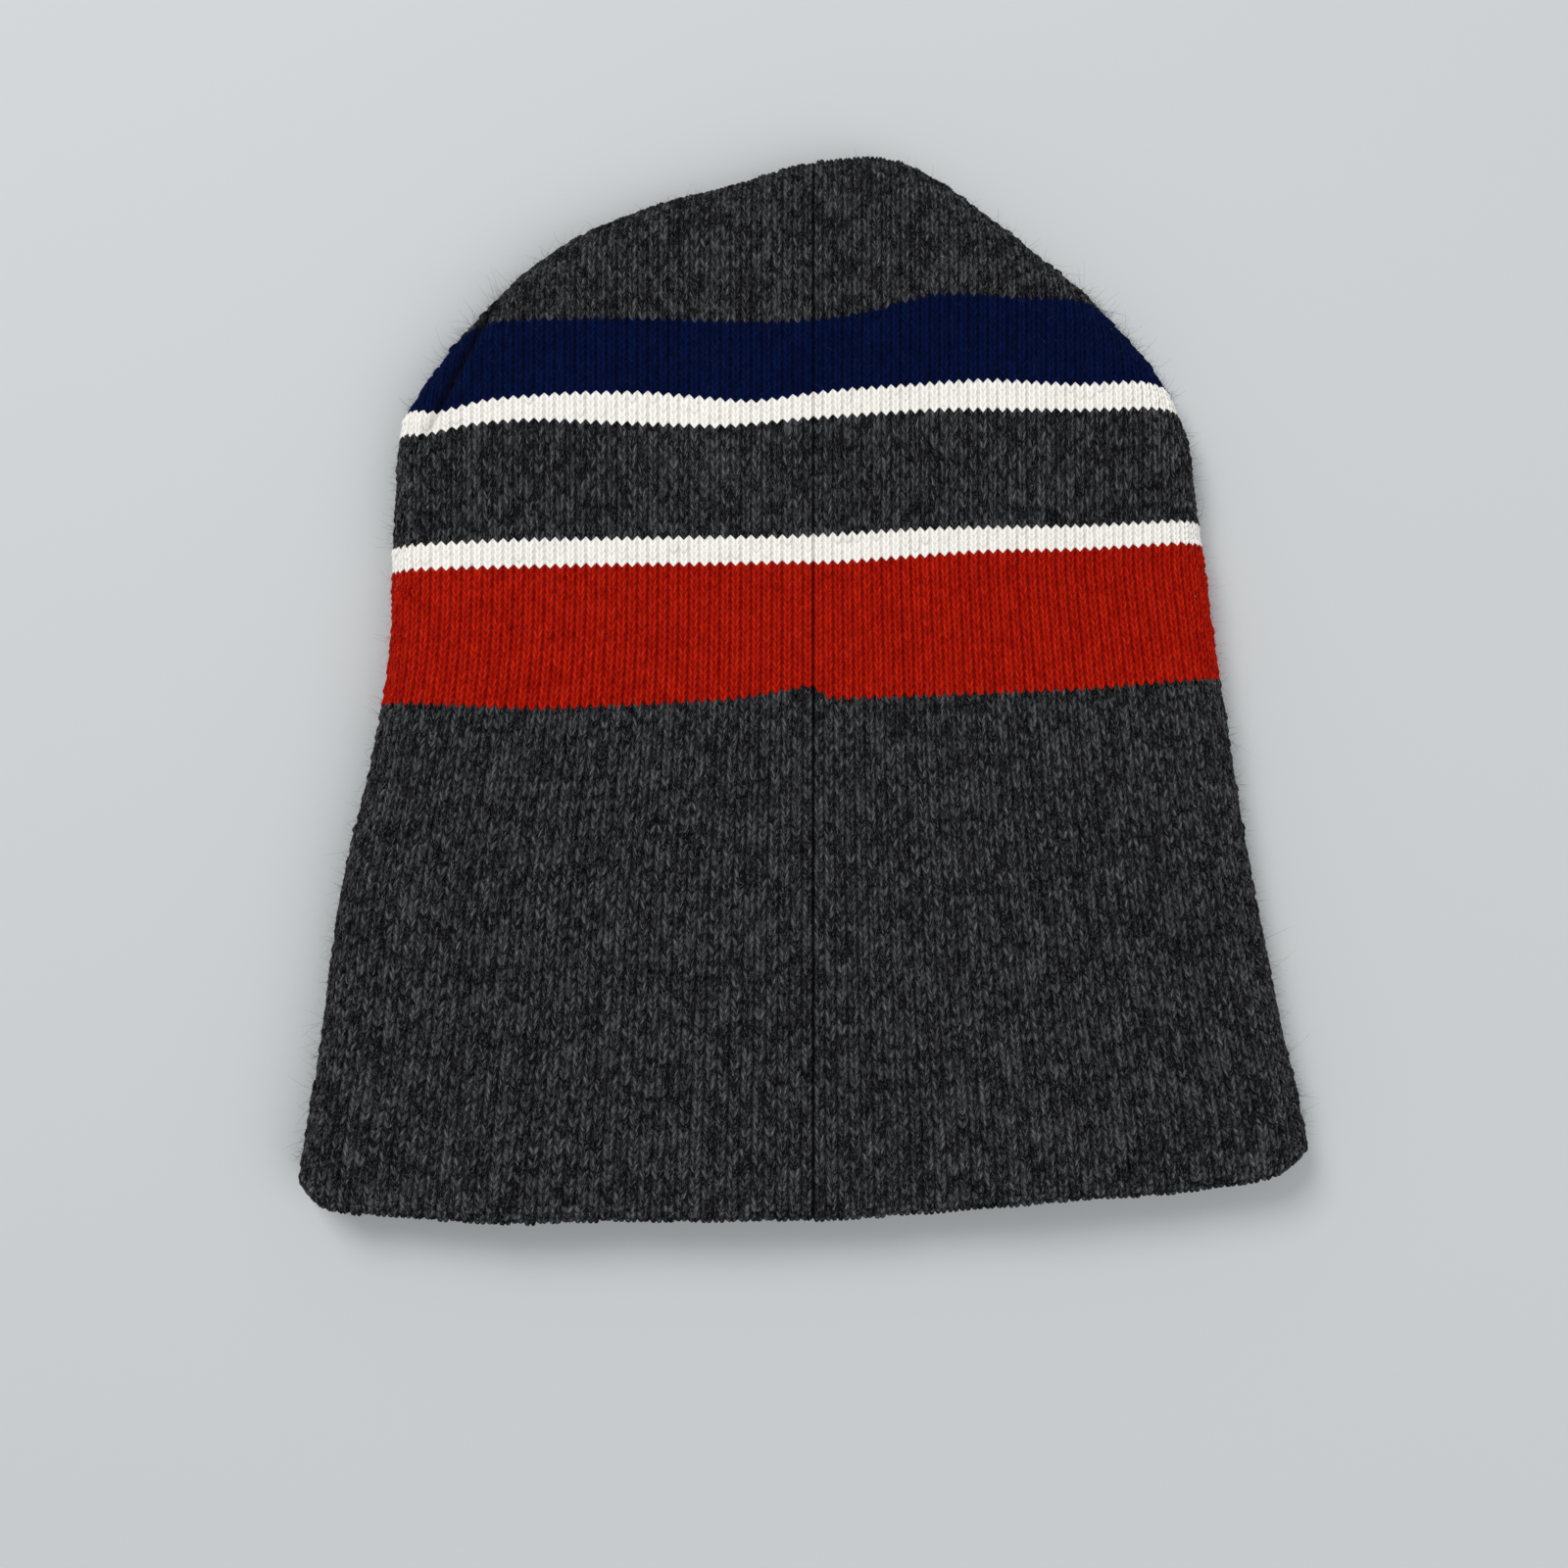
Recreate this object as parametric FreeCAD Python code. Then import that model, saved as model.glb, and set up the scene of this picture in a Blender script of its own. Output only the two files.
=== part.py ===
import FreeCAD
import Part
import os

from FreeCAD import Vector

# Uncuffed striped knit beanie, lying flat with its centre-back seam up. Millimetres.
# X runs across the hat, Y from the mouth to the crown, Z up from the surface that it lies on.
# The hat is one long tube of plain knitting turned in at the mouth: an outer layer of seven yarn
# bands, a lining, and the fold between them. Seam and dart edges lie in the gap between the layers.

# Overall size, as the hat lies.
length = 235.0            # lowest point of the mouth to the top of the crown
mouth_width = 224.0       # across the mouth, from side fold to side fold
waist_width = 182.0       # across the narrowest part, above the red band
height = 16.0             # from the surface to the top of the back
top_rounding = 9.0        # rounding of the side folds and crown, upper half
bottom_rounding = 6.0     # the same, lower half

# Cloth.
knit_thickness = 1.7      # one layer of knitting
layer_gap = 1.6           # air between the outer layer and the lining
allowance_thickness = 0.6 # overlocked edge of a seam or dart, pressed flat
thread_thickness = 0.25

# Levels at the middle of the hat, above the lowest point of the mouth.
waist_level = 140.0       # where the hat is waist_width across
shoulder_level = 168.0    # where the sides turn in to the crown
red_level = 115.5         # lower edge of the red band
red_height = 30.0
lower_white_height = 5.4
charcoal_height = 25.4
upper_white_height = 5.8
navy_height = 17.5
course_slope = 0.033      # rise of the knitted rows from left to right, for each mm across

# The mouth's edge: shares of half the mouth's width, and height above its lowest point.
mouth_shape = [
    (-1.0, 8.0), (-0.95, 3.2), (-0.87, 2.0), (-0.62, 0.5), (-0.1, 0.7),
    (0.5, 5.1), (0.87, 9.0), (0.95, 10.6), (1.0, 15.0),
]

# The crown's edge: shares of half the waist, and of the rise from the shoulder to the top.
crown_shape = [
    (-0.93, 0.22), (-0.79, 0.46), (-0.60, 0.68), (-0.38, 0.83), (-0.15, 0.92),
    (0.14, 1.0), (0.31, 0.93), (0.50, 0.75), (0.69, 0.55), (0.84, 0.32), (0.93, 0.10),
]

# Mouth fold, seam, darts and tack.
fold_depth = 7.0          # height of the strip that turns from the outer layer to the lining
fold_rounding = 2.2       # rounding of the mouth's edge, above and below
seam_x = 2.0              # the centre-back seam's place across the hat
seam_groove = 0.6         # width of the groove where the cloth's two edges meet
groove_depth = 0.7
allowance_width = 7.0     # both edges of a seam, turned to one side
dart_length = 46.0        # from the end of a dart down from the top of the crown
side_dart_width = 4.0
seam_start = 4.0          # above the lowest point of the mouth
seam_end = 9.0            # from the top of the crown down to the end of the back seam
stitch_pitch = 5.0
stitch_width = 0.9
stitch_length = 5.0
crown_x = 10.0            # where the darts meet
tack_width = 3.0          # thread tie between the two crowns
tack_clearance = 4.0      # from the tie to the end of each dart

# Places worked out from the sizes.
y_low = -length / 2
y_top = length / 2
half_mouth = mouth_width / 2
half_waist = waist_width / 2
mid_height = height / 2
lining_inset = knit_thickness + layer_gap
wall = lining_inset + knit_thickness
below = 40.0              # how far the skins run on below the mouth before they are trimmed
far = 2 * (length + mouth_width)


def outline():
    """The edge of the hat from below the mouth up one side, over the crown and down the other."""
    rise = length - shoulder_level
    lean = (half_mouth - half_waist) / waist_level
    foot = half_mouth + lean * below
    middle = 0.5 * waist_level
    middle_half = half_waist + 0.42 * (half_mouth - half_waist)
    points = [
        Vector(-foot, y_low - below, 0),
        Vector(-half_mouth, y_low + mouth_shape[0][1], 0),
        Vector(-middle_half, y_low + middle, 0),
        Vector(-half_waist, y_low + waist_level, 0),
        Vector(-0.99 * half_waist, y_low + shoulder_level, 0),
    ]
    for across, up in crown_shape:
        points.append(Vector(across * half_waist, y_low + shoulder_level + up * rise, 0))
    points.append(Vector(0.97 * half_waist, y_low + waist_level + 12, 0))
    points.append(Vector(half_waist, y_low + waist_level - 14, 0))
    points.append(Vector(middle_half, y_low + middle, 0))
    points.append(Vector(half_mouth, y_low + mouth_shape[-1][1], 0))
    points.append(Vector(foot, y_low - below, 0))
    curve = Part.BSplineCurve()
    curve.interpolate(points)
    return curve


def inset_outline(inset):
    """The outline moved in by the inset, as one smooth curve through points along its own length."""
    edge = outline().toShape()
    steps = 64
    points = []
    for step in range(steps + 1):
        place = edge.getParameterByLength(edge.Length * step / steps)
        along = edge.tangentAt(place)
        inward = Vector(along.y, -along.x, 0)
        points.append(edge.valueAt(place) + inward * inset)
    inner = Part.BSplineCurve()
    inner.interpolate(points)
    return inner.toShape()


def skin(inset):
    """The solid inside the skin that lies this far in from the outside of the hat."""
    edge = inset_outline(inset)
    foot = Part.makeLine(edge.Vertexes[-1].Point, edge.Vertexes[0].Point)
    solid = Part.Face(Part.Wire([edge, foot])).extrude(Vector(0, 0, height - 2 * inset))
    solid.translate(Vector(0, 0, inset))
    top = [e for e in solid.Edges if e.BoundBox.ZMin > mid_height and e.Length > 2 * length]
    solid = solid.makeFillet(top_rounding - inset, top[-1:])
    bottom = [e for e in solid.Edges if e.BoundBox.ZMax < inset + 0.01 and e.Length > 2 * length]
    return solid.makeFillet(bottom_rounding - inset, bottom[-1:])



def box(x0, x1, y0, y1, z0, z1):
    return Part.makeBox(x1 - x0, y1 - y0, z1 - z0, Vector(x0, y0, z0))


def above_mouth(lift):
    """Everything on the crown's side of the mouth's edge, once the edge is lifted this much."""
    points = [Vector(share * half_mouth, y_low + level + lift, 0) for share, level in mouth_shape]
    curve = Part.BSplineCurve()
    curve.interpolate(points)
    left = points[0]
    right = points[-1]
    corners = [
        right,
        Vector(far, right.y, 0),
        Vector(far, far, 0),
        Vector(-far, far, 0),
        Vector(-far, left.y, 0),
        left,
    ]
    sides = [Part.makeLine(a, b) for a, b in zip(corners, corners[1:])]
    solid = Part.Face(Part.Wire([curve.toShape()] + sides)).extrude(Vector(0, 0, 2 * height))
    solid.translate(Vector(0, 0, -mid_height))
    return solid


def between_rows(low, high):
    """A slab between two knitted rows, which rise a little from left to right."""
    tilt = course_slope * far
    corners = [
        Vector(-far, y_low + low - tilt, 0),
        Vector(far, y_low + low + tilt, 0),
        Vector(far, y_low + high + tilt, 0),
        Vector(-far, y_low + high - tilt, 0),
        Vector(-far, y_low + low - tilt, 0),
    ]
    solid = Part.Face(Part.makePolygon(corners)).extrude(Vector(0, 0, 2 * height))
    solid.translate(Vector(0, 0, -mid_height))
    return solid


def cloth(outer_inset, inner_inset, region):
    """What lies between two skins within a region."""
    return skin(outer_inset).common(region).cut(skin(inner_inset))


def keep(name, shape):
    """Write one node, and stop if it holds no sound solid."""
    solids = shape.Solids
    if not solids or not all(s.isValid() for s in solids):
        raise ValueError(name + " holds no sound solid")
    shape = solids[0] if len(solids) == 1 else Part.makeCompound(solids)
    shape.exportStep("parts/" + name + ".step")
    print(name, len(solids), round(shape.Volume, 1))


def seam_strip(x0, x1):
    """The upright slice over the back of the hat where a strip of the seam lies."""
    return box(x0, x1, y_low + seam_start, y_top - seam_end, mid_height, height)


def outer_layer():
    """The outer tube with the groove of its centre-back seam, not yet parted into bands."""
    groove = cloth(0, groove_depth, seam_strip(seam_x - seam_groove / 2, seam_x + seam_groove / 2))
    return cloth(0, knit_thickness, above_mouth(fold_depth)).cut(groove)


def lining():
    """The plain inner tube, its groove facing the head."""
    strip = seam_strip(seam_x - seam_groove / 2, seam_x + seam_groove / 2)
    groove = cloth(wall - groove_depth, wall, strip)
    return cloth(lining_inset, wall, above_mouth(fold_depth)).cut(groove)


def rounded_mouth():
    """The crown's side of the mouth's edge at the hat's own height, with the edge rounded above and below."""
    solid = above_mouth(0).common(box(-far, far, -far, far, 0, height))
    rim = [edge for edge in solid.Edges if runs_along_mouth(edge)]
    return solid.makeFillet(fold_rounding, rim)


def runs_along_mouth(edge):
    """Whether an edge follows the mouth from one side to the other."""
    level_edge = edge.BoundBox.ZLength < 0.01
    as_wide = abs(edge.BoundBox.XLength - mouth_width) < 0.01
    return level_edge and as_wide


def mouth_fold():
    """The strip where the outer layer turns in to become the lining, U-shaped in section."""
    ring = cloth(0, wall, rounded_mouth().cut(above_mouth(fold_depth)))
    gap = above_mouth(knit_thickness).cut(above_mouth(2 * fold_depth))
    return ring.cut(cloth(knit_thickness, lining_inset, gap))


def seam_edges(outer_inset, side):
    """Both cut edges of the back seam, overlocked together and pressed to one side."""
    x0 = seam_x + min(0, side * allowance_width)
    x1 = seam_x + max(0, side * allowance_width)
    return cloth(outer_inset, outer_inset + allowance_thickness, seam_strip(x0, x1))


def dart_edges(outer_inset, side):
    """The turned-in edges of the three crown darts: left, right and front."""
    free = tack_width / 2 + tack_clearance
    z0 = mid_height + min(0, side * side_dart_width)
    z1 = mid_height + max(0, side * side_dart_width)
    x0 = crown_x + min(0, side * side_dart_width)
    x1 = crown_x + max(0, side * side_dart_width)
    foot = y_top - dart_length
    left = box(-far, crown_x - free, foot, far, z0, z1)
    right = box(crown_x + free, far, foot, far, z0, z1)
    front = box(x0, x1, foot, y_top - seam_end, 0, mid_height)
    places = Part.makeCompound([left, right, front])
    return cloth(outer_inset, outer_inset + allowance_thickness, places)


def seam_stitches():
    """Thread wrapped over the overlocked edges, one bar for each stitch, on both layers' seams."""
    outer_top = knit_thickness + allowance_thickness
    lining_top = lining_inset - allowance_thickness - thread_thickness
    margin = (allowance_width - stitch_length) / 2
    rungs = []
    y = y_low + seam_start + stitch_pitch
    while y < y_top - seam_end - stitch_pitch:
        rungs.append(box(0, stitch_length, y, y + stitch_width, mid_height, height))
        y += stitch_pitch
    rungs = Part.makeCompound(rungs)
    left = rungs.translated(Vector(seam_x - margin - stitch_length, 0, 0))
    right = rungs.translated(Vector(seam_x + margin, 0, 0))
    outer = cloth(outer_top, outer_top + thread_thickness, left)
    inner = cloth(lining_top, lining_top + thread_thickness, right)
    return Part.makeCompound(outer.Solids + inner.Solids)


def crown_tack():
    """The thread tie that holds the two crowns together."""
    half = tack_width / 2
    across = box(crown_x - half, crown_x + half, 0, far, mid_height - half, mid_height + half)
    return cloth(knit_thickness, lining_inset, across)


os.makedirs("parts", exist_ok=True)

tube = outer_layer()
level = red_level
keep("lower_body", tube.common(between_rows(-length, level)))
keep("red_band", tube.common(between_rows(level, level + red_height)))
level += red_height
keep("lower_white_stripe", tube.common(between_rows(level, level + lower_white_height)))
level += lower_white_height
keep("charcoal_band", tube.common(between_rows(level, level + charcoal_height)))
level += charcoal_height
keep("upper_white_stripe", tube.common(between_rows(level, level + upper_white_height)))
level += upper_white_height
keep("navy_band", tube.common(between_rows(level, level + navy_height)))
level += navy_height
keep("crown", tube.common(between_rows(level, 2 * length)))
keep("mouth_fold", mouth_fold())
keep("lining", lining())
keep("back_seam_edges", seam_edges(knit_thickness, -1))
keep("lining_seam_edges", seam_edges(lining_inset - allowance_thickness, 1))
keep("crown_dart_edges", dart_edges(knit_thickness, 1))
keep("lining_dart_edges", dart_edges(lining_inset - allowance_thickness, -1))
keep("seam_stitches", seam_stitches())
keep("crown_tack", crown_tack())
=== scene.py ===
import bpy
import math
import numpy as np
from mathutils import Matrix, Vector


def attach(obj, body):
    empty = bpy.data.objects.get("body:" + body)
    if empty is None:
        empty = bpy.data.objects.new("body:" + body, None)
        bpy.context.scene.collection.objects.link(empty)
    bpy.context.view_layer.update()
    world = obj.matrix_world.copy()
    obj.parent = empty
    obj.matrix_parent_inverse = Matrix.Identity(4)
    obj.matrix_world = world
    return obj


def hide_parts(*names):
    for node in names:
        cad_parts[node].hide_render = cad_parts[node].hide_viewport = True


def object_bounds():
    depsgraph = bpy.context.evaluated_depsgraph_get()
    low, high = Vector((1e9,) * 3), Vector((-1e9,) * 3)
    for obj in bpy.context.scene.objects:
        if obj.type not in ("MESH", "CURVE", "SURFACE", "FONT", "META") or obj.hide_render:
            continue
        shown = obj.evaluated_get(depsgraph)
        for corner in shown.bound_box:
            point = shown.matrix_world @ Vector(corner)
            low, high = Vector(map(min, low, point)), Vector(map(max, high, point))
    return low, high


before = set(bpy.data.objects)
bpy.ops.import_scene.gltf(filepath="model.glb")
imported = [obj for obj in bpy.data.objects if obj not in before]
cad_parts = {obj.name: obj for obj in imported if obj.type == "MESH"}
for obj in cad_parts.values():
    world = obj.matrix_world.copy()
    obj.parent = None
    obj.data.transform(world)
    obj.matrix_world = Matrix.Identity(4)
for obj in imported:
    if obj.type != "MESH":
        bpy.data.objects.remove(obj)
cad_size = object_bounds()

# The charcoal lower body.
# The hat is a tube of plain jersey in heathered acrylic yarn, knitted from the mouth up, with
# 88 wales across the back and 88 across the front. It lies flat and turns round its side folds.
MM = 0.001             # sizes are millimetres here and become metres when a mesh is made
TALL = (cad_size[1][2] - cad_size[0][2]) / MM
SEAM_X = 2.1           # the centre-back seam's place across the hat
WALES = 44             # from a seam or centre line to a side fold
EDGE_TOP = 9.0         # rounding of the side folds above
EDGE_LOW = 6.0         # and below
SIDE_STRIP = 0.5       # half of the upright strip between those two roundings
SPARE = 0.6            # cloth past a side fold, left off again where it would lie double
WALL = 5.0             # outer layer, gap and lining together
ROLL = WALL / 2        # radius of the soft edge round the mouth
CURVE_END = 26.0       # the wales fan out below this height and run straight above it
ROW = 1.5              # height of one knitted row
WALE = 2.3             # usual width of one wale
FOLD_TOP = 5           # rows of the mouth fold that show on the outside
LEG_RISE = 0.75        # how far a leg climbs, in rows, from its wale's middle to its edge
UNDER_LIFT = 0.45      # the under layer's cloth lies this far above the CAD's flat underside
TABLE_GAP = 0.03       # and no stitch of it comes nearer the table than this
BATCH = 20000          # places looked up at once, to spare memory

# The rows at the mouth, at each colour change and past the top.
MOUTH, RED_LOW, WHITE_LOW, BAND_LOW = 0, 75, 95, 99
BAND_TOP, NAVY_LOW, CROWN_LOW, LAST = 115, 119, 131, 164


def smooth_line(points, spacing=1.0, blur=4.0):
    """A row's height across the hat, as an even table from a few points."""
    x = np.arange(-140, 141, spacing)
    y = np.interp(x, [p[0] for p in points], [p[1] for p in points])
    k = np.exp(-0.5 * (np.arange(-12, 13) * spacing / blur) ** 2)
    pad = np.pad(y, 12, mode="edge")
    return x, np.convolve(pad, k / k.sum(), mode="valid")


def spline(points, steps=24):
    """A smooth curve through the points."""
    p = np.array(points, float)
    p = np.vstack([2 * p[0] - p[1], p, 2 * p[-1] - p[-2]])
    out = []
    for a, b, c, d in zip(p, p[1:], p[2:], p[3:]):
        t = np.linspace(0, 1, steps, endpoint=False)[:, None]
        bend = (2 * a - 5 * b + 4 * c - d) * t**2 + (3 * b - a - 3 * c + d) * t**3
        out.append(0.5 * (2 * b + (c - a) * t + bend))
    out.append(p[-2:-1])
    return np.vstack(out)


outline = spline([
    (-118, -158), (-112, -110), (-106.5, -75), (-102.5, -45), (-96, -17), (-91.8, 8),
    (-90.6, 36), (-89.2, 56), (-84.6, 66), (-72, 82), (-55, 97), (-35, 106.3), (-14, 112),
    (0, 116), (12, 117.6), (21, 116.6), (30, 112.4), (46, 100.5), (63, 86.5), (77, 71),
    (84.4, 57), (87.6, 36), (91.2, 10), (96, -22), (101, -50), (106, -75), (112, -103),
    (118, -158),
])
cum = np.concatenate([[0], np.cumsum(np.hypot(*np.diff(outline, axis=0).T))])
at = np.linspace(0, cum[-1], 900)
rim = np.column_stack([np.interp(at, cum, outline[:, i]) for i in (0, 1)])
rim_t = np.gradient(rim, at, axis=0)
rim_t /= np.linalg.norm(rim_t, axis=1)[:, None]
rim_n = np.column_stack([-rim_t[:, 1], rim_t[:, 0]])
rim_k = np.gradient(rim_n, at, axis=0)
half = len(rim) // 2

# Those rows as they lie: the row, its height at places across the hat, and how softly it bends.
rows = [
    (MOUTH, [(-112, -108), (-106, -112.1), (-98, -113), (-69, -115), (-47, -114.5), (6, -114.3),
             (24, -113), (56, -110), (81, -108.5), (99, -106), (106, -104), (112, -100.5)], 2.0),
    (RED_LOW, [(-95, -3.2), (-58, -4.8), (-35, -3.8), (-15, -2.6), (-2, -0.4), (2.1, 0.6),
               (5, -2.6), (30, -1.8), (60, -0.6), (95, 2.4)], 1.2),
    (WHITE_LOW, [(-92, 25.5), (-50, 26.6), (-20, 26.7), (0, 27.2), (5, 26.9), (39, 29.6),
                 (60, 30), (92, 32)], 4.0),
    (BAND_LOW, [(-92, 30.7), (-60, 32.2), (-4, 32.6), (28, 34.5), (60, 35), (92, 36.8)], 4.0),
    (BAND_TOP, [(-90, 56), (-82, 54.8), (-74, 57.3), (-60, 58.3), (-17, 56.6), (0, 58.4),
                (30, 60.6), (60, 60.3), (88, 61.4)], 3.0),
    (NAVY_LOW, [(-90, 62.5), (-84, 60.5), (-80, 59.4), (-70, 62.6), (-50, 64.1), (-34, 64.3),
                (-11, 61.9), (4, 64.3), (39, 67.1), (60, 65.8), (88, 67.8)], 3.0),
    (CROWN_LOW, [(-80, 79.8), (-40, 80.4), (-4, 79.5), (10, 80.6), (20, 83.4), (30, 86.2),
                 (50, 84.7), (75, 86)], 4.0),
    (LAST, [(-90, 128), (90, 131)], 4.0),
]
row_v = np.array([r[0] for r in rows], float)
tables = [smooth_line(points, blur=blur) for _, points, blur in rows]


def height_of(x, v):
    """How far up the hat a row is, at a place across it."""
    ys = np.stack([np.interp(x, tx, ty) for tx, ty in tables])
    k = np.clip(np.searchsorted(row_v, v, side="right") - 1, 0, len(rows) - 2)
    f = (v - row_v[k]) / (row_v[k + 1] - row_v[k])
    i = np.arange(len(x))
    return ys[k, i] * (1 - f) + ys[k + 1, i] * f


def cloth_point(u, v, back):
    """Plan position, height and outward direction of the cloth's outer skin at wale u and row v."""
    s = np.abs(u - np.floor(u) - 0.5)
    vv = v + LEG_RISE * (2 * s - 0.5) * np.clip(v / 2, 0, 1)
    radius = EDGE_TOP if back else EDGE_LOW
    spare = radius * (math.pi / 2 - 1) + SIDE_STRIP
    # The wales share out the width between the seam and the side fold.
    x = SEAM_X + u * WALE
    for _ in range(3):
        y = height_of(x, vv)
        ye = np.minimum(y, CURVE_END)
        left = np.interp(ye, rim[:half, 1], rim[:half, 0])
        right = np.interp(ye, rim[half:, 1][::-1], rim[half:, 0][::-1])
        span = np.where(u < 0, SEAM_X - left, right - SEAM_X) + spare + SPARE
        x = SEAM_X + u * span / WALES
    y = height_of(x, vv)
    p = np.column_stack([x, y])
    # The nearest place on the outline tells how far in from the side fold the cloth is.
    near = np.empty(len(p), int)
    for a in range(0, len(p), BATCH):
        q = p[a:a + BATCH]
        d = (q[:, :1] - rim[None, :, 0]) ** 2 + (q[:, 1:] - rim[None, :, 1]) ** 2
        near[a:a + BATCH] = d.argmin(1)
    slip = ((p - rim[near]) * rim_t[near]).sum(1)
    foot = rim[near] + rim_t[near] * slip[:, None]
    n = rim_n[near] + rim_k[near] * slip[:, None]
    n /= np.linalg.norm(n, axis=1)[:, None]
    inside = ((foot - p) * n).sum(1)
    # Nearer than the rounding's radius, the cloth turns down round the side.
    e = radius - inside
    e_mid = radius * math.pi / 2 + SIDE_STRIP
    over = e > e_mid
    e = np.minimum(e, e_mid)
    turn = np.clip(e / radius, 0, math.pi / 2)
    curled = e > 0
    reach = np.where(turn >= math.pi / 2, radius, radius * np.sin(turn))
    plan = np.where(curled[:, None], foot + n * (reach - radius)[:, None], p)
    drop = radius * (1 - np.cos(turn)) + np.clip(e - radius * math.pi / 2, 0, None)
    z = TALL - drop if back else drop
    out = np.column_stack([n * np.sin(turn)[:, None], np.cos(turn) * (1 if back else -1)])
    out[~curled] = (0, 0, 1 if back else -1)
    inner = np.clip(-e, 0, 40)
    if back:
        z = z + waves(plan[:, 0], plan[:, 1], inner)
    else:
        z = z + UNDER_LIFT * np.cos(turn)
    return np.column_stack([plan, z]), out, over


def waves(x, y, inner):
    """How the upper layer rises and dips as it lies: soft folds, the seam's pucker and the tuck."""
    soft = 0.5 * np.sin(x / 17 + y / 39 + 1.0) * np.sin(y / 23 - x / 60)
    soft = soft + 0.35 * np.sin(x / 9.5 - y / 13)
    lift = 0.9 * (1 - np.exp(-inner / 18)) - 0.9 + soft * (1 - np.exp(-inner / 10))
    dx = x - SEAM_X
    red = np.exp(-((y - 14) / 17) ** 4)
    pucker = -(0.15 + 0.25 * red) * np.exp(-(dx / 4.5) ** 2)
    slit = -(0.2 + 0.45 * red) * np.exp(-((dx + 0.1) / 0.6) ** 2)
    step = 0.5 * red * np.exp(-((dx - 3) / 2.5) ** 2)
    dip = -1.0 * np.exp(-(((x + 37) + (y - 10) * 0.9) / 7) ** 2 - ((y - 12) / 22) ** 2)
    top = -0.4 * np.exp(-((x - 5) / 6) ** 2) * np.clip((y - 82) / 20, 0, 1)
    away, reach = tuck_line(x, y)
    tuck = -1.1 * reach * np.where(away < 0, np.exp(-(away / 3.0) ** 2), np.exp(-(away / 0.7) ** 2))
    tuck += 0.6 * reach * np.exp(-((away - 3) / 2.5) ** 2)
    calm = lift + step + dip
    calm = np.where(np.abs(dx - 1) < 14, np.maximum(calm, -0.35), calm)
    return calm + pucker + slit + top + tuck


def tuck_line(x, y):
    """Distance across the crease by the left side fold, and how much of it is at this height."""
    along = (y - 57) / 26
    return x + 81.5 - 13 * along, np.exp(-np.clip(np.abs(along - 0.5) - 0.5, 0, 1) ** 2 / 0.02)


COLS = np.array([-0.5, -0.36, -0.15, 0.0, 0.15, 0.36]) + 0.5  # mesh lines across one wale
ROWS = 4                                                      # mesh lines to one row


def relief(u, v):
    """The jersey's two legs in each wale, standing out of the cloth in millimetres."""
    s = np.abs(u - np.floor(u) - 0.5)
    t = v - np.floor(v)
    r = np.random.default_rng(3)
    column, row = np.floor(u).astype(int) % 400, np.floor(v + 500).astype(int) % 400
    wale = r.normal(0, 1, 400)[column]
    stitch = r.normal(0, 1, (400, 400))[column, row]
    centre = 0.15 + 0.16 * t
    leg = np.clip(1 - ((s - centre) / 0.2) ** 2, 0, 1)
    bump = 0.62 + 0.38 * np.sin(math.pi * np.clip(t * 1.15, 0, 1))
    valley = np.exp(-((0.5 - s) / 0.07) ** 2)
    raised = 0.5 * leg * bump * (1 + 0.25 * stitch)
    sunk = 0.22 * valley * (1 + 0.4 * wale)
    return raised - sunk + 0.05 * wale + 0.07 * stitch - 0.2


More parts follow.
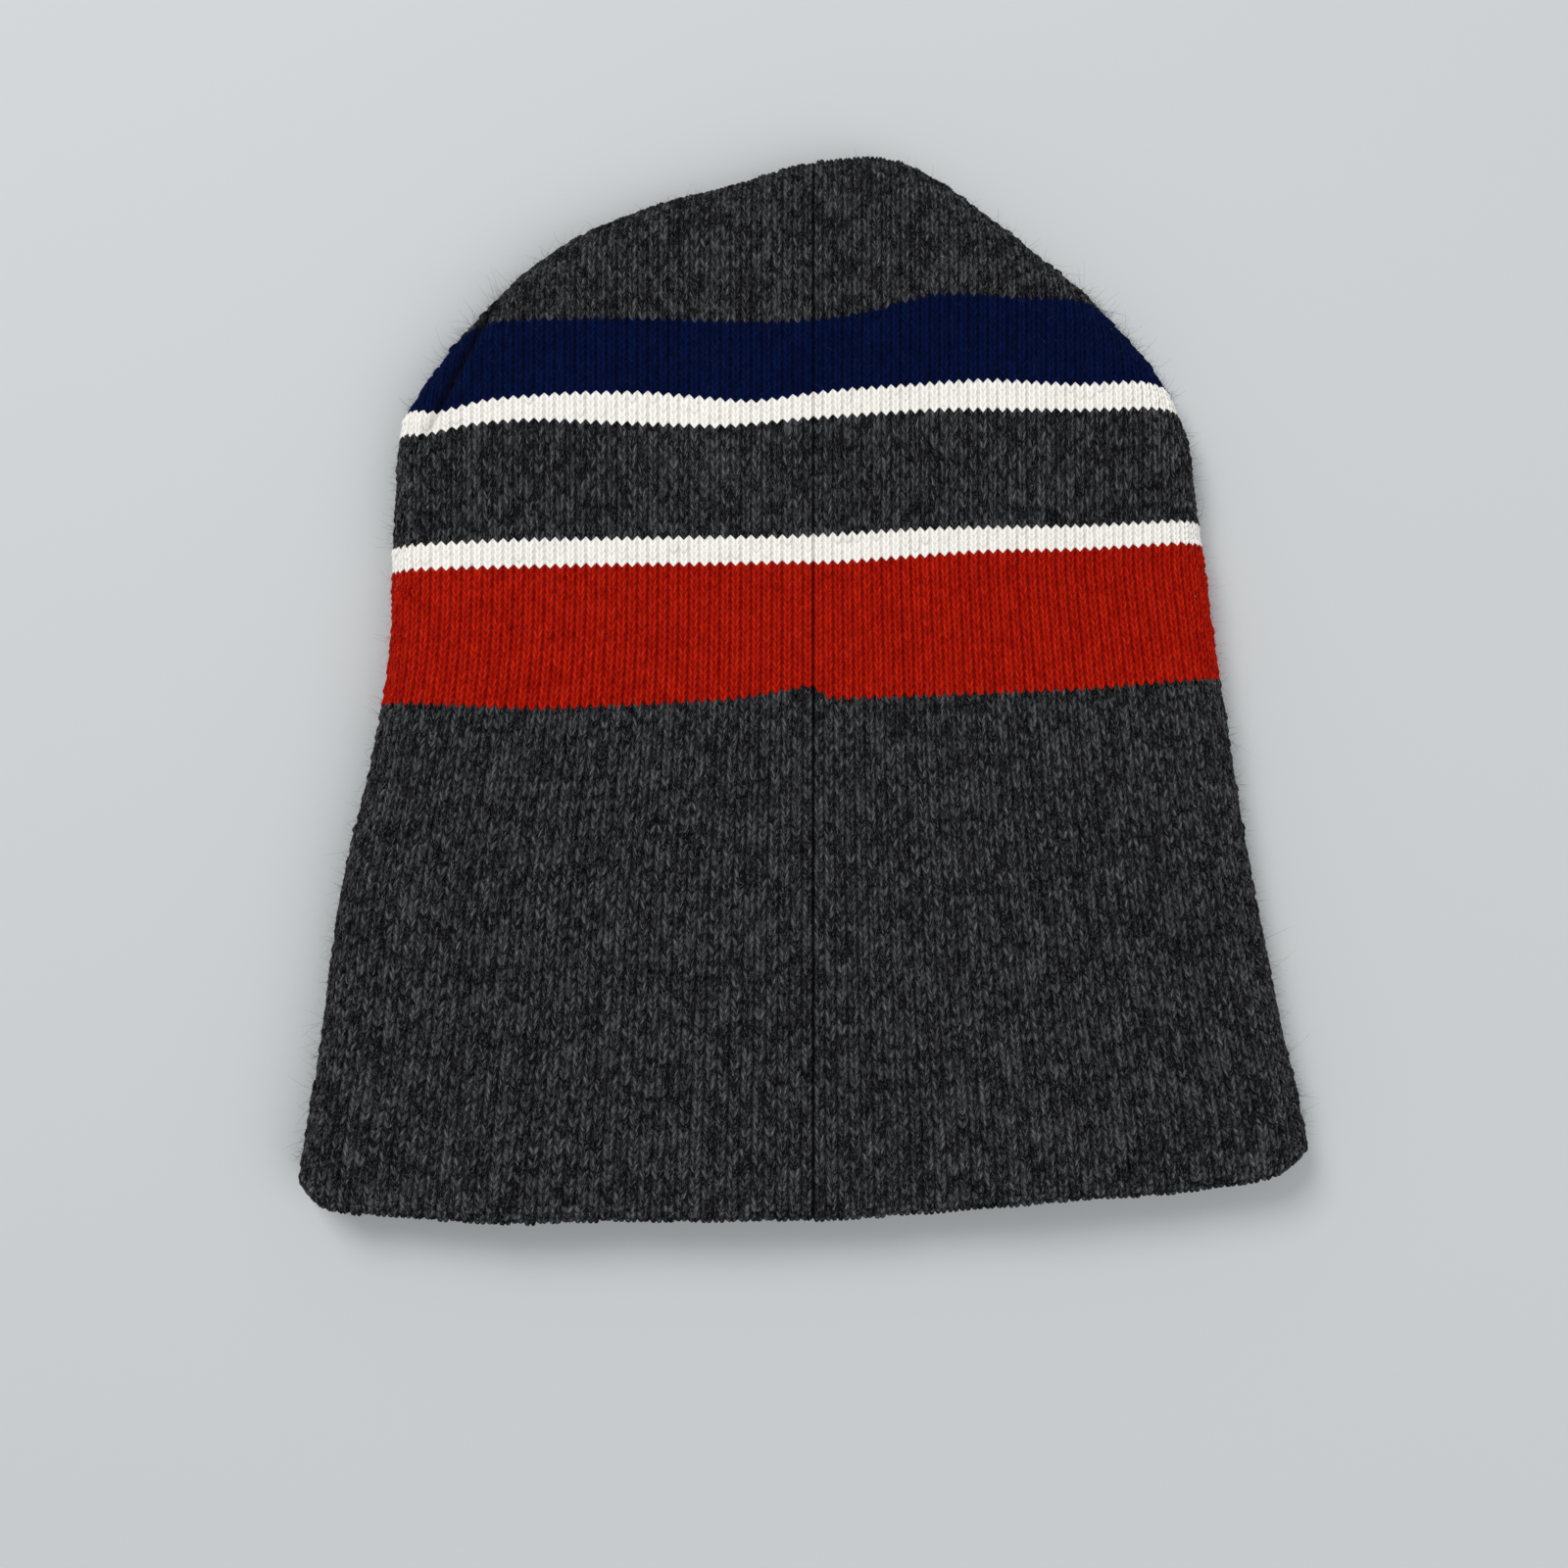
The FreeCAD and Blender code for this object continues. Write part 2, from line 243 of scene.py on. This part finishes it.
def knit(name, parts):
    """One piece of knitting from stretches of (back, u0, u1, v0, v1, layer), as one mesh.

    The layer is outer, lining, or fold: rows outside, a half turn round the mouth, rows inside.
    """
    verts, faces, marks, uvs = [], [], [], []
    base = 0
    total = sum((u1 - u0) for _, u0, u1, _, _, _ in parts)
    deep = max(abs(v1 - v0) for _, _, _, v0, v1, _ in parts)
    lanes = max(1, round(math.sqrt(total * WALE / (deep * ROW))))
    lane_w = math.ceil(total / lanes)
    done = 0
    for back, u0, u1, v0, v1, layer in parts:
        fine = layer != "lining"
        cols = COLS if fine else np.array([0.0, 0.5])
        per = ROWS if fine else 1
        u = (np.arange(u0, u1)[:, None] + cols[None]).ravel()
        u = np.append(u, u1)
        v = np.linspace(v0, v1, int(round((v1 - v0) * per)) + 1)
        nu, nv = len(u), len(v)
        uu, vv = np.meshgrid(u, v, indexing="xy")
        uu, vv = uu.ravel(), vv.ravel()
        pos, out, over = cloth_point(uu, np.maximum(vv, 0), back)
        if layer == "outer":
            h = relief(uu, vv)
        elif layer == "lining":
            pos = pos - WALL * out
            out = -out
            h = np.zeros(len(uu))
        else:
            bend = math.pi * ROLL / ROW
            inner_v = np.clip(-vv - bend, 0, None)
            pos_in, out_in, _ = cloth_point(uu, inner_v, back)
            theta = np.clip(-vv * ROW / ROLL, 0, math.pi)[:, None]
            rolled_out = out * np.cos(theta) + np.array([0, -1, 0]) * np.sin(theta)
            rolled = pos - ROLL * out + ROLL * rolled_out
            inside = vv < -bend
            turning = (vv < 0)[:, None]
            inside = inside[:, None]
            pos = np.where(inside, pos_in - WALL * out_in, np.where(turning, rolled, pos))
            out = np.where(inside, -out_in, np.where(turning, rolled_out, out))
            h = relief(uu, vv)
        pos = pos + out * h[:, None]
        if not back:
            pos[:, 2] = np.maximum(pos[:, 2], TABLE_GAP)
        i = np.arange((nu - 1) * (nv - 1))
        a = (i // (nu - 1)) * nu + i % (nu - 1)
        quad = np.column_stack([a, a + 1, a + nu + 1, a + nu])
        flip = (not back) != (layer == "lining")
        keep = ~over[quad].all(1)
        quad = quad[keep]
        if flip:
            quad = quad[:, ::-1]
        # The stretches are laid side by side in lanes, so that one square holds them all.
        lane_u = done + uu - u0
        low_u = done + (u[:-1] - u0)[i % (nu - 1)][keep]
        lane = np.floor(low_u / lane_w + 1e-9)
        fu = (lane_u[quad] - lane[:, None] * lane_w) / lane_w
        fv = (vv[quad] - v0) / (v1 - v0)
        across = 0.004 + 0.992 * fu
        up = (lane[:, None] + 0.02 + 0.96 * fv) / (lanes + 0.001)
        uvs.append(np.stack([across, up], -1).reshape(-1, 2))
        verts.append(pos)
        # The crease mark tells the yarn where to paint shade into the tuck's crease on the back; the
        # front's third mark is 1.
        away, much = tuck_line(pos[:, 0], pos[:, 1])
        crease = much * np.where(away < 0, np.exp(-(away / 1.7) ** 2), np.exp(-(away / 0.8) ** 2))
        marks.append(np.column_stack([uu, vv, 0.45 * crease if back else np.ones(len(uu))]))
        faces.append(quad + base)
        base += len(pos)
        done += u1 - u0
    verts, faces, marks, uvs = np.vstack(verts), np.vstack(faces), np.vstack(marks), np.vstack(uvs)
    used = np.zeros(len(verts), bool)
    used[faces.ravel()] = True
    number = np.cumsum(used) - 1
    return solid_mesh(name, verts[used], number[faces], marks[used], uvs)


def solid_mesh(name, verts, faces, marks=None, uvs=None):
    """A smooth mesh from its points and faces, with the stitch marks its yarn reads."""
    mesh = bpy.data.meshes.new(name)
    mesh.vertices.add(len(verts))
    mesh.vertices.foreach_set("co", (np.asarray(verts) * MM).astype(np.float32).ravel())
    size = faces.shape[1]
    mesh.loops.add(faces.size)
    mesh.loops.foreach_set("vertex_index", faces.astype(np.int32).ravel())
    mesh.polygons.add(len(faces))
    mesh.polygons.foreach_set("loop_start", np.arange(0, faces.size, size, dtype=np.int32))
    mesh.update(calc_edges=True)
    mesh.validate()
    mesh.shade_smooth()
    if marks is not None:
        stitch = mesh.attributes.new("stitch", "FLOAT_VECTOR", "POINT")
        stitch.data.foreach_set("vector", marks.astype(np.float32).ravel())
    if uvs is not None:
        mesh.uv_layers.new(name="OFBake").data.foreach_set("uv", uvs.astype(np.float32).ravel())
    piece = bpy.data.objects.new(name, mesh)
    bpy.context.scene.collection.objects.link(piece)
    return piece


class Wire:
    """A shader socket that can be added, subtracted, multiplied and divided."""

    def __init__(self, tree, socket):
        self.tree, self.socket = tree, socket

    def node(self, kind, settings=None, **inputs):
        n = self.tree.nodes.new(kind)
        for key, value in (settings or {}).items():
            setattr(n, key, value)
        for key, value in inputs.items():
            numbered = key[0] == "i" and key[1:].isdigit()
            put = n.inputs[int(key[1:]) if numbered else key.replace("_", " ")]
            if isinstance(value, Wire):
                self.tree.links.new(value.socket, put)
            else:
                put.default_value = value
        return n

    def math(self, op, other=0.0, third=0.0):
        n = self.node("ShaderNodeMath", {"operation": op}, i0=self, i1=other, i2=third)
        return Wire(self.tree, n.outputs[0])

    def __add__(self, o): return self.math("ADD", o)
    def __radd__(self, o): return self.math("ADD", o)
    def __sub__(self, o): return self.math("SUBTRACT", o)
    def __rsub__(self, o): return (self * -1.0) + o
    def __mul__(self, o): return self.math("MULTIPLY", o)
    def __rmul__(self, o): return self.math("MULTIPLY", o)
    def __truediv__(self, o): return self.math("DIVIDE", o)

    def clamp(self):
        return self.math("MAXIMUM", 0.0).math("MINIMUM", 1.0)


def yarn(name, dark, light, heather, shade_strength=1.0):
    """Matt fuzzy yarn: streaks of fibre along each leg, with painted shade between the legs, between the
    rows, in the back seam's slit and in the tuck's crease.
    """
    mat = bpy.data.materials.new(name)
    mat.use_nodes = True
    tree = mat.node_tree
    tree.nodes.clear()
    w = Wire(tree, None)
    st = w.node("ShaderNodeAttribute", {"attribute_name": "stitch"})
    split = w.node("ShaderNodeSeparateXYZ", i0=Wire(tree, st.outputs["Vector"]))
    u, v, third = (Wire(tree, split.outputs[k]) for k in range(3))
    # The third mark is 1 on the front; on the back it is how deep the painted shade of the tuck's crease
    # goes.
    side = (third + 0.001).math("FLOOR")
    crease = ((third - side) * 2.2).clamp()
    s = (u - u.math("FLOOR")) - 0.5
    a = s.math("ABSOLUTE")
    t = v - v.math("FLOOR")
    centre = t * 0.16 + 0.15
    across = (a - centre) / 0.19
    leg = (1.0 - across * across).clamp()
    edge = ((0.5 - a) / 0.09).clamp()
    cell = w.node("ShaderNodeCombineXYZ", i0=(u * 2.0).math("FLOOR"), i1=v.math("FLOOR"), i2=side * 9.0)
    solid = {"noise_dimensions": "3D"}
    speck = w.node("ShaderNodeTexWhiteNoise", solid, Vector=Wire(tree, cell.outputs[0]))
    rand = Wire(tree, speck.outputs["Value"])
    run = w.node("ShaderNodeCombineXYZ", i0=u * 7.0 + s.math("SIGN") * t * -1.4, i1=v * 1.1,
                 i2=rand * 3.0 + side * 20.0)
    fibre = w.node("ShaderNodeTexNoise", solid, Vector=Wire(tree, run.outputs[0]), Scale=1.0,
                   Detail=3.0, Roughness=0.65)
    fib = Wire(tree, fibre.outputs[0])
    wide = w.node("ShaderNodeCombineXYZ", i0=u * 0.5, i1=v * 0.16, i2=side * 7.0)
    cloud = w.node("ShaderNodeTexNoise", solid, Vector=Wire(tree, wide.outputs[0]), Scale=1.0,
                   Detail=2.0)
    hair_at = w.node("ShaderNodeCombineXYZ", i0=u * 19.0 + t * 2.0, i1=v * 2.6,
                     i2=rand * 9.0 + side * 5.0)
    hair = w.node("ShaderNodeTexNoise", solid, Vector=Wire(tree, hair_at.outputs[0]), Scale=1.0,
                  Detail=2.0, Roughness=0.7)
    pale = ((Wire(tree, hair.outputs[0]) - 0.56) * 6.0).clamp()
    blend = (fib - 0.5) * 3.4 + (rand - 0.5) * 0.6 + (Wire(tree, cloud.outputs[0]) - 0.5) * 0.7
    blend = ((blend * heather + (0.42 - heather * 0.27)).clamp() * 0.62 + pale * heather * 0.8).clamp()
    # Painted shade multiplied into the yarn's colour: darker off each leg's middle and towards the
    # wale's edges, darker where one row meets the next, darker in the back seam's slit and in the tuck's
    # crease. The yarn's last argument sets how deep this painted shade goes.
    row_shade = ((t * math.pi).math("SINE")) * 0.38 + 0.62
    seam = ((u.math("ABSOLUTE") + side * 9.0) / 0.22).clamp() * 0.85 + 0.15
    shade = (leg * 0.55 + 0.45) * (edge * 0.45 + 0.55) * row_shade * seam * (1.0 - crease * 0.9)
    shade = shade * shade_strength + (1.0 - shade_strength)
    mix = w.node("ShaderNodeMix", {"data_type": "RGBA"})
    tree.links.new(blend.socket, mix.inputs[0])
    mix.inputs[6].default_value = (*dark, 1)
    mix.inputs[7].default_value = (*light, 1)
    dim = w.node("ShaderNodeVectorMath", {"operation": "SCALE"}, i0=Wire(tree, mix.outputs[2]))
    tree.links.new(shade.socket, dim.inputs["Scale"])
    height = leg * 0.7 + fib * 0.5
    bump = w.node("ShaderNodeBump", Strength=0.6, Distance=0.0004, Height=height)
    skin = w.node("ShaderNodeBsdfPrincipled", Base_Color=Wire(tree, dim.outputs[0]), Roughness=0.95,
                  Normal=Wire(tree, bump.outputs[0]))
    skin.inputs["Sheen Weight"].default_value = 0.0
    skin.inputs["Specular IOR Level"].default_value = 0.06
    end = tree.nodes.new("ShaderNodeOutputMaterial")
    tree.links.new(skin.outputs[0], end.inputs[0])
    return mat


def dress(piece, mat, slot, *nodes):
    """The piece gets its yarn, and takes the place of the plain solids it stands for."""
    piece.data.materials.append(mat)
    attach(piece, "root")
    if nodes:
        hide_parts(*nodes)
    return piece


# The body is parted at the back seam, the side folds and the front's centre line.
charcoal = yarn("charcoal yarn", (0.002, 0.002, 0.0028), (0.19, 0.192, 0.2), 1.0)
for word, back, u0, u1 in (("back_left", True, -WALES, 0), ("back_right", True, 0, WALES),
                           ("front_left", False, -WALES, 0), ("front_right", False, 0, WALES)):
    piece = knit("lower_body_" + word, [(back, u0, u1, FOLD_TOP, RED_LOW, "outer")])
    dress(piece, charcoal, "charcoal_yarn", "lower_body")

# The brick red band.
# One solid yarn, twenty rows, with the back seam's slit deepest here.
def tube(low, high, layer="outer"):
    """The same rows all the way round, the back's stretch and then the front's."""
    return [(back, -WALES, WALES, low, high, layer) for back in (True, False)]


red = yarn("red yarn", (0.3, 0.003, 0.0005), (0.88, 0.03, 0.006), 0.6, 0.85)
piece = knit("red_band_knit", tube(RED_LOW, WHITE_LOW))
dress(piece, red, "red_yarn", "red_band")

# The two cream white stripes.
# Four rows each, above the red band and below the navy one.
white = yarn("white yarn", (0.86, 0.83, 0.77), (0.99, 0.97, 0.93), 0.6, 0.4)
for name, low, high in (("lower_white_stripe", WHITE_LOW, BAND_LOW),
                        ("upper_white_stripe", BAND_TOP, NAVY_LOW)):
    piece = knit(name + "_knit", tube(low, high))
    dress(piece, white, "white_yarn", name)

# The charcoal band between the white stripes.
# Sixteen rows of the body's yarn.
piece = knit("charcoal_band_knit", tube(BAND_LOW, BAND_TOP))
dress(piece, charcoal, "charcoal_yarn", "charcoal_band")

# The navy band.
# Twelve rows; the tuck by the left side fold runs down through it.
navy = yarn("navy yarn", (0.0002, 0.0022, 0.022), (0.0012, 0.013, 0.09), 0.6, 0.85)
piece = knit("navy_band_knit", tube(NAVY_LOW, CROWN_LOW))
dress(piece, navy, "navy_yarn", "navy_band")

# The charcoal crown.
# The same heathered yarn, cut away at the sides by the darts, which lie along the side folds.
piece = knit("crown_knit", tube(CROWN_LOW, LAST))
dress(piece, charcoal, "charcoal_yarn", "crown")

# The mouth fold.
# The last rows of the tube, turned in on themselves with a soft round edge.
piece = knit("mouth_fold_knit", tube(-10, FOLD_TOP, "fold"))
dress(piece, charcoal, "charcoal_yarn", "mouth_fold")

# The lining.
# A second plain tube of the charcoal yarn inside the first, its smooth side towards the head.
piece = knit("lining_knit", tube(4, LAST, "lining"))
dress(piece, charcoal, "charcoal_yarn", "lining")

# The seam and dart edges, their thread, and the tie between the crowns.
# Flat overlocked strips and small bars of black thread, shut in between the two layers.
inside = bpy.data.materials.new("overlocked edge")
inside.use_nodes = True
grain = inside.node_tree.nodes.new("ShaderNodeTexNoise")
grain.inputs["Scale"].default_value = 900
ramp = inside.node_tree.nodes.new("ShaderNodeValToRGB")
ramp.color_ramp.elements[0].color = (0.004, 0.004, 0.005, 1)
ramp.color_ramp.elements[1].color = (0.05, 0.05, 0.055, 1)
skin = inside.node_tree.nodes["Principled BSDF"]
inside.node_tree.links.new(grain.outputs[0], ramp.inputs[0])
inside.node_tree.links.new(ramp.outputs[0], skin.inputs["Base Color"])
skin.inputs["Roughness"].default_value = 0.95
for name in ("back_seam_edges", "lining_seam_edges", "crown_dart_edges", "lining_dart_edges",
             "seam_stitches", "crown_tack"):
    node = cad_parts[name]
    node.data.materials.clear()
    node.data.materials.append(inside)

# Loose fibres.
# Acrylic yarn sheds: short hairs of each band's own colour stand off it, and a little pale
# lint lies on it. Each hair is a thin tube of three sides and three lengths, tapered to its tip.
THIN = np.array([0.028, 0.026, 0.02, 0.008])  # the hair's radius from root to tip
FLOOR = 0.06                                  # hairs stay this far above the table


def fuzz(name, low, high, count, colour, slot, seed, reach=1.9):
    """Loose fibres standing off the surface, most of all along the side folds."""
    r = np.random.default_rng(seed)
    u = r.uniform(-WALES, WALES, count)
    edge = r.random(count) < 0.45
    u = np.where(edge, np.sign(u) * (WALES - np.abs(r.normal(0, 2.2, count))), u)
    back = r.random(count) < 0.8
    v = r.uniform(low, high, count)
    pos, out = np.zeros((count, 3)), np.zeros((count, 3))
    for side in (True, False):
        pick = back == side
        pos[pick], out[pick], _ = cloth_point(u[pick], v[pick], side)
    lie = r.normal(0, 1, (count, 3))
    lie /= np.linalg.norm(lie, axis=1)[:, None]
    long = r.gamma(2.2, reach / 3.4, count)[:, None].clip(0.3, 4.5)
    curl = r.normal(0, 0.45, (count, 3))
    line = []
    for k in range(4):
        f = k / 3
        line.append(pos + long * (f * (out * 0.55 + lie * 0.75) + f * f * curl) + out * 0.1)
    line = np.stack(line, 1)
    line[..., 2] = np.maximum(line[..., 2], FLOOR)
    across = np.cross(out, lie)
    across /= np.linalg.norm(across, axis=1)[:, None] + 1e-9
    second = np.cross(across, lie)
    ring = []
    for k in range(3):
        ang = k * 2 * math.pi / 3
        spoke = across * math.cos(ang) + second * math.sin(ang)
        ring.append(spoke[:, None] * THIN[None, :, None])
    verts = (line[:, :, None] + np.stack(ring, 2)).reshape(-1, 3)
    faces = []
    for k in range(3):
        for j in range(3):
            a, b = k * 3 + j, k * 3 + (j + 1) % 3
            faces.append([a, b, b + 3, a + 3])
    faces = (np.arange(count)[:, None, None] * 12 + np.array(faces)[None]).reshape(-1, 4)
    piece = solid_mesh(name, verts, faces)
    mat = bpy.data.materials.new(name)
    mat.use_nodes = True
    skin = mat.node_tree.nodes["Principled BSDF"]
    skin.inputs["Base Color"].default_value = (*colour, 1)
    skin.inputs["Roughness"].default_value = 0.9
    dress(piece, mat, slot)


fuzz("body_fuzz", 2, RED_LOW, 4200, (0.05, 0.05, 0.055), "charcoal_yarn", 11)
fuzz("red_fuzz", RED_LOW, WHITE_LOW, 900, (0.45, 0.03, 0.012), "red_yarn", 12)
fuzz("upper_fuzz", BAND_LOW, BAND_TOP, 900, (0.05, 0.05, 0.055), "charcoal_yarn", 13)
fuzz("navy_fuzz", NAVY_LOW, CROWN_LOW, 600, (0.006, 0.02, 0.08), "navy_yarn", 14)
fuzz("crown_fuzz", CROWN_LOW, 158, 2200, (0.06, 0.058, 0.06), "charcoal_yarn", 15)
fuzz("lint", 6, 150, 90, (0.7, 0.7, 0.7), "white_yarn", 16, 0.7)

# The floor, lamps and camera.
# A plain pale table seen from straight above, in soft light from all round.
bpy.ops.mesh.primitive_plane_add(size=6, location=(0, 0, 0))
floor = bpy.context.object
floor.name = "floor"
table = bpy.data.materials.new("table")
table.use_nodes = True
skin = table.node_tree.nodes["Principled BSDF"]
skin.inputs["Base Color"].default_value = (0.47, 0.485, 0.49, 1)
skin.inputs["Roughness"].default_value = 0.9
floor.data.materials.append(table)
for name, place, size, power in (("key", (-0.5, 0.7, 1.1), 0.6, 13), ("fill", (0.8, -0.5, 1.2), 1.2, 9)):
    lamp = bpy.data.lights.new(name, "AREA")
    lamp.size, lamp.energy = size, power
    holder = bpy.data.objects.new(name, lamp)
    holder.location = place
    holder.rotation_euler = Vector([-c for c in place]).to_track_quat("-Z", "Y").to_euler()
    bpy.context.scene.collection.objects.link(holder)
world = bpy.data.worlds.new("sky")
bpy.context.scene.world = world
world.use_nodes = True
sky = world.node_tree.nodes["Background"]
sky.inputs[0].default_value = (0.95, 0.97, 1, 1)
sky.inputs[1].default_value = 0.55
LENS, SENSOR = 50, 36  # the camera's lens and the width of its sensor
SEEN = 0.343           # metres of table across the picture, level with the hat's top
camera = bpy.data.objects.new("camera", bpy.data.cameras.new("camera"))
camera.data.lens = LENS
camera.data.sensor_width = SENSOR
distance = SEEN * LENS / SENSOR
camera.location = (-0.0043, -0.0212, distance + 0.014)
camera.rotation_euler = (0, 0, 0)
camera.data.clip_start = 0.01
bpy.context.scene.collection.objects.link(camera)
bpy.context.scene.camera = camera
bpy.context.scene.view_settings.view_transform = "Standard"
